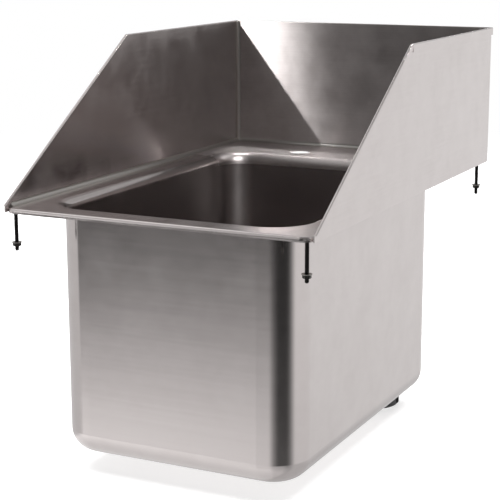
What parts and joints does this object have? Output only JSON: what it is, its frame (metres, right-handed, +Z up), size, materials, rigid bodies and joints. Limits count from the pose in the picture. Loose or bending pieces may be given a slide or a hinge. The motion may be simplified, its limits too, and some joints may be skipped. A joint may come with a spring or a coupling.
{
  "type": "drop-in sink",
  "caption": "Stainless drop-in hand sink: deep drawn bowl, rolled rim, hemmed side and back splashes, tap ledge, corner waste with lift-out strainer, hold-down studs.",
  "frame": {"origin": "centre of the rim's footprint, on the plane of the worktop that the lip rests on", "axes": "+X to the right of someone at the sink, +Y to the rear, +Z up; the front faces -Y"},
  "size_m": [0.3206, 0.4908, 0.4091],
  "materials": {
    "stainless": "brushed",
    "weld": "polished",
    "waste_steel": "polished",
    "stud_steel": "black plated",
    "washer_steel": "plated",
    "black_plastic": "moulded",
    "rubber": "matte",
    "fibre": "fibre"
  },
  "bodies": {
    "sink": {"deck": "stainless", "bowl": "stainless", "left_splash": "stainless", "right_splash": "stainless", "back_splash": "stainless", "seam_weld": "weld", "stud_front_left": "stud_steel", "stud_front_right": "stud_steel", "stud_rear_left": "stud_steel", "stud_rear_right": "stud_steel", "drain_body": "waste_steel", "drain_seal": "rubber", "drain_gasket": "rubber", "drain_friction_washer": "fibre", "drain_locknut": "black_plastic"},
    "strainer": {"strainer_basket": "waste_steel", "strainer_knob": "waste_steel"},
    "washer_front_left": {"washer_front_left": "washer_steel"},
    "nut_front_left": {"nut_front_left": "stud_steel"},
    "washer_front_right": {"washer_front_right": "washer_steel"},
    "nut_front_right": {"nut_front_right": "stud_steel"},
    "washer_rear_left": {"washer_rear_left": "washer_steel"},
    "nut_rear_left": {"nut_rear_left": "stud_steel"},
    "washer_rear_right": {"washer_rear_right": "washer_steel"},
    "nut_rear_right": {"nut_rear_right": "stud_steel"}
  },
  "joints": [
    {"name": "strainer_lift", "type": "slide", "parent": "sink", "child": "strainer", "axis": [0, 0, 1], "range_m": [0, 0.42]},
    {"name": "climb_front_left", "type": "slide", "parent": "sink", "child": "washer_front_left", "axis": [0, 0, 1], "range_m": [-0.0035, 0.0231]},
    {"name": "turn_front_left", "type": "hinge", "parent": "washer_front_left", "child": "nut_front_left", "pos_m": [-0.1493, -0.2364, -0.029], "axis": [0, 0, 1], "range_deg": [-1815, 11895]},
    {"name": "climb_front_right", "type": "slide", "parent": "sink", "child": "washer_front_right", "axis": [0, 0, 1], "range_m": [-0.0035, 0.0231]},
    {"name": "turn_front_right", "type": "hinge", "parent": "washer_front_right", "child": "nut_front_right", "pos_m": [0.1493, -0.2364, -0.0292], "axis": [0, 0, 1], "range_deg": [-1815, 11895]},
    {"name": "climb_rear_left", "type": "slide", "parent": "sink", "child": "washer_rear_left", "axis": [0, 0, 1], "range_m": [-0.0035, 0.0231]},
    {"name": "turn_rear_left", "type": "hinge", "parent": "washer_rear_left", "child": "nut_rear_left", "pos_m": [-0.1493, 0.2348, -0.0285], "axis": [0, 0, 1], "range_deg": [-1815, 11895]},
    {"name": "climb_rear_right", "type": "slide", "parent": "sink", "child": "washer_rear_right", "axis": [0, 0, 1], "range_m": [-0.0035, 0.0231]},
    {"name": "turn_rear_right", "type": "hinge", "parent": "washer_rear_right", "child": "nut_rear_right", "pos_m": [0.1493, 0.2348, -0.0265], "axis": [0, 0, 1], "range_deg": [-1815, 11895]}
  ],
  "couplings": [
    {"joint": "turn_front_left", "follows": "climb_front_left", "rad_per_m": 8976},
    {"joint": "turn_front_right", "follows": "climb_front_right", "rad_per_m": 8976},
    {"joint": "turn_rear_left", "follows": "climb_rear_left", "rad_per_m": 8976},
    {"joint": "turn_rear_right", "follows": "climb_rear_right", "rad_per_m": 8976}
  ]
}
